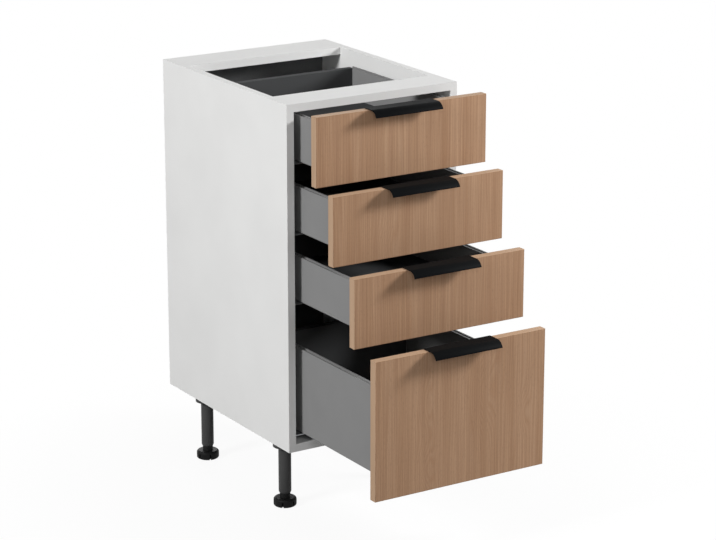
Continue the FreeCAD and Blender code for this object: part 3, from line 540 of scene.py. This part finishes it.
def add_piece(name, parts, material, body, replaced=()):
    """One object from several (points, faces) parts, on its body and in its finish."""
    points = []
    faces = []
    for part_points, part_faces in parts:
        first = len(points)
        points += part_points
        faces += [[first + i for i in face] for face in part_faces]
    mesh = bpy.data.meshes.new(name)
    mesh.from_pydata(points, [], faces)
    shape = bmesh.new()
    shape.from_mesh(mesh)
    bmesh.ops.recalc_face_normals(shape, faces=shape.faces)
    shape.to_mesh(mesh)
    shape.free()
    mesh.shade_smooth()
    mesh.set_sharp_from_angle(angle=SHARP_ANGLE)
    mesh.materials.append(material)
    item = bpy.data.objects.new(name, mesh)
    bpy.context.scene.collection.objects.link(item)
    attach(item, body)
    if replaced:
        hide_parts(*replaced)


# ---------------------------------------------------------------- dressing the CAD's nodes

# faces that meet flatter than the first are joined, edges sharper than the second are rounded
FLAT_ANGLE = math.radians(0.5)
EDGE_ANGLE = math.radians(40)


def dress(node_name, material, edge_radius):
    """Give a CAD node its finish, and break its sharp edges."""
    item = nodes[node_name]
    item.data.materials.clear()
    item.data.materials.append(material)
    for polygon in item.data.polygons:
        polygon.material_index = 0
    weld = item.modifiers.new("weld", "WELD")
    weld.merge_threshold = WELD_REACH
    flat = item.modifiers.new("flat", "DECIMATE")
    flat.decimate_type = "DISSOLVE"
    flat.angle_limit = FLAT_ANGLE
    bevel = item.modifiers.new("edges", "BEVEL")
    bevel.width = edge_radius
    bevel.segments = 2
    bevel.limit_method = "ANGLE"
    bevel.angle_limit = EDGE_ANGLE
    bevel.harden_normals = True


def dress_carcass():
    """White boards, back panel, dowels, and the screws and cams that hold them."""
    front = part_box("side_panel_left")[0].y
    white = pressed_melamine("white_melamine", "#EFEFEE", "#EBEBEA", 0.04, front)
    for name in WHITE_BOARDS:
        dress(name, white, mm(0.8))
    dress("back_panel", lacquered_hardboard("back_hardboard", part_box("back_panel")), mm(0.2))
    dress("dowels", turned_beech("beech_dowel"), mm(0.4))
    zinc = zinc_plate("zinc_fastener")
    for name in FASTENERS:
        dress(name, zinc, mm(0.2))
    add_piece("rail_cross_screws", side_screws("rail_screws", RAIL_SCREW), zinc,
              "carcass", ["rail_screws"])
    add_piece("cross_leg_screws", upright_screws("leg_screws", BOARD_SCREW), zinc,
              "carcass", ["leg_screws"])
    add_piece("cross_cam_housings", upright_screws("cam_housings", CAM_WHEEL), zinc,
              "carcass", ["cam_housings"])


def dress_legs():
    """Sockets, tubes and screw feet, and the thread on each foot's stem."""
    plastic = moulded_plastic("black_leg_plastic", "#4A4A4A", 0.45, 0.6)
    foot = moulded_plastic("black_foot_plastic", "#101010", 0.5, 0.65)
    dress("leg_sockets", plastic, mm(0.3))
    for corner in CORNERS:
        dress("leg_tube_" + corner, plastic, mm(0.3))
        dress("leg_foot_" + corner, foot, mm(0.4))
        low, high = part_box("leg_foot_" + corner)
        points, faces = thread(STEM_RADIUS, THREAD_RIDGE, THREAD_PITCH, low.z + THREAD_START,
                               high.z - THREAD_STOP)
        axis = Vector(((low.x + high.x) / 2, (low.y + high.y) / 2, 0))
        add_piece("stem_thread_" + corner, [([axis + point for point in points], faces)], foot,
                  "foot_" + corner)


# where each front is cut from the print, in metres, and its arches: side, rise, half width and
# half height in millimetres, and depth in rings
PRINT_SHIFTS = {1: (0.31, 0.0, 0.22), 2: (1.27, 0.1, 0.84), 3: (2.43, 0.2, 1.61),
                4: (3.92, 0.3, 2.37)}
PRINT_ARCHES = {1: [],
                2: [(-80, -50, 18, 40, 3)],
                3: [],
                4: [(53, 42, 26, 75, 6), (-83, -99, 22, 45, 4), (151, -20, 12, 38, 3),
                    (-79, 35, 14, 45, 2.5)]}


def dress_drawers():
    """Fronts, handles, boxes and runners of the four drawers, and the screws in them."""
    graphite = pressed_melamine("graphite_melamine", "#4E4F50", "#4A4B4C", 0.02)
    powder = coated_metal("grey_powder_coat", "#8C8C8C", 0.9, 0.55, 0.68, 0.08)
    black = coated_metal("black_anodised_aluminium", "#101112", 0.5, 0.5, 0.62, 0.02)
    zinc = zinc_plate("zinc_runner")
    for number in DRAWERS:
        front = "drawer_front_%d" % number
        oak = oak_print("oak_look_%d" % number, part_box(front), PRINT_SHIFTS[number],
                        PRINT_ARCHES[number])
        dress(front, oak, mm(0.4))
        dress("handle_%d" % number, black, mm(0.3))
        for side in ("left", "right"):
            dress("drawer_side_%s_%d" % (side, number), powder, mm(0.25))
        dress("drawer_base_%d" % number, graphite, mm(0.3))
        dress("drawer_back_%d" % number, graphite, mm(0.3))
        for name in ZINC_IN_DRAWER:
            dress("%s_%d" % (name, number), zinc, mm(0.2))
        add_piece("box_brackets_and_screws_%d" % number, box_parts("box_fixings_%d" % number),
                  zinc, "drawer_%d" % number, ["box_fixings_%d" % number])


# ---------------------------------------------------------------- studio

# widths and focal length: the photo's in pixels, the sensor's in millimetres
PHOTO_WIDTH = 716
SENSOR_WIDTH = 36
FOCAL_PIXELS = 2600
CAMERA_PLACE = Vector((-2.703, -4.333, 1.997))
CAMERA_TURN = math.radians(32.1)
CAMERA_DIP = math.radians(16.5)

# each lamp's direction and distance from the point it faces, edge length and power in watts
LAMP_TARGET = Vector((0, -0.1, 0.5))
LAMPS = {"rear_softbox": ((0.3, 0.95, 0.087), 3.6, 1.8, 44),
         "key_softbox": ((0.795, -0.405, 0.452), 3.0, 0.7, 86),
         "left_softbox": ((-0.882, -0.06, 0.468), 6.0, 1.5, 260),
         "fill_softbox": ((-0.36, -0.85, 0.385), 3.0, 1.0, 11.5)}

# strength of the world's light on surfaces, and the floor's half size and grey to the object
WORLD_FILL = 0.07
FLOOR_REACH = 40.0
FLOOR_BOUNCE = 0.3


def camera():
    """The photograph's camera, left of the front and above the cabinet's top."""
    data = bpy.data.cameras.new("camera")
    data.sensor_width = SENSOR_WIDTH
    data.lens = FOCAL_PIXELS * SENSOR_WIDTH / PHOTO_WIDTH
    item = bpy.data.objects.new("camera", data)
    item.location = CAMERA_PLACE
    ahead = Vector((math.sin(CAMERA_TURN) * math.cos(CAMERA_DIP),
                    math.cos(CAMERA_TURN) * math.cos(CAMERA_DIP), -math.sin(CAMERA_DIP)))
    item.rotation_euler = ahead.to_track_quat("-Z", "Y").to_euler()
    bpy.context.scene.collection.objects.link(item)
    bpy.context.scene.camera = item


def lamps():
    """A small key from the front's right, a far lamp high on the left, fills in front and behind."""
    for name, (direction, distance, size, power) in LAMPS.items():
        data = bpy.data.lights.new(name, "AREA")
        data.shape = "SQUARE"
        data.size = size
        data.energy = power
        item = bpy.data.objects.new(name, data)
        item.location = LAMP_TARGET + Vector(direction) * distance
        item.rotation_euler = (LAMP_TARGET - item.location).to_track_quat("-Z", "Y").to_euler()
        bpy.context.scene.collection.objects.link(item)


def world():
    """White for the eye and for reflections, and a dim even fill on surfaces."""
    scene_world = bpy.data.worlds.new("studio")
    scene_world.use_nodes = True
    tree = scene_world.node_tree
    tree.nodes.clear()
    rays = add(tree, "LightPath")
    seen = add(tree, "Math", {0: rays.outputs["Is Camera Ray"],
                              1: rays.outputs["Is Glossy Ray"]}, operation="MAXIMUM")
    seen = add(tree, "Math", {0: seen.outputs["Value"],
                              1: rays.outputs["Is Transmission Ray"]}, operation="MAXIMUM")
    strength = add(tree, "MapRange", {"Value": seen.outputs["Value"], "To Min": WORLD_FILL,
                                      "To Max": 1.0})
    light = add(tree, "Background", {"Color": grey(1.0), "Strength": strength.outputs["Result"]})
    add(tree, "OutputWorld", {"Surface": light.outputs["Background"]})
    bpy.context.scene.world = scene_world


def floor_paint():
    """Pale studio floor: nearly white round the cabinet, where its shadow shows, and then white.

    To the object it is a mid grey, so that little light comes back up from it.
    """
    material, tree = new_tree("studio_floor")
    rays = add(tree, "LightPath")
    seen = add(tree, "Math", {0: rays.outputs["Is Camera Ray"],
                              1: rays.outputs["Is Glossy Ray"]}, operation="MAXIMUM")
    distance = add(tree, "VectorMath", {0: add(tree, "TexCoord").outputs["Object"]},
                   operation="LENGTH")
    white = add(tree, "MapRange", {"Value": distance.outputs["Value"], "From Min": 0.45,
                                   "From Max": 0.9, "To Min": 0.92, "To Max": 1.0})
    share = add(tree, "Math", {0: seen.outputs["Value"], 1: white.outputs["Result"]},
                operation="MULTIPLY")
    colour = add(tree, "Mix", {MIX_FACTOR: seen.outputs["Value"], MIX_A: grey(FLOOR_BOUNCE),
                               MIX_B: grey(0.95)}, data_type="RGBA")
    matt = add(tree, "BsdfDiffuse", {"Color": colour.outputs[MIX_RESULT]})
    glow = add(tree, "Emission", {"Color": grey(1.0), "Strength": 1.0})
    both = add(tree, "MixShader", {0: share.outputs["Value"], 1: matt.outputs["BSDF"],
                                   2: glow.outputs["Emission"]})
    add(tree, "OutputMaterial", {"Surface": both.outputs["Shader"]})
    return material


def floor():
    """One wide sheet under the feet, kept out of the part."""
    mesh = bpy.data.meshes.new("floor")
    corners = [(-FLOOR_REACH, -FLOOR_REACH, 0), (FLOOR_REACH, -FLOOR_REACH, 0),
               (FLOOR_REACH, FLOOR_REACH, 0), (-FLOOR_REACH, FLOOR_REACH, 0)]
    mesh.from_pydata(corners, [], [(0, 1, 2, 3)])
    mesh.materials.append(floor_paint())
    item = bpy.data.objects.new("floor", mesh)
    bpy.context.scene.collection.objects.link(item)


camera()
lamps()
world()
floor()
dress_carcass()
dress_legs()
dress_drawers()

bpy.context.scene.view_settings.view_transform = "Standard"
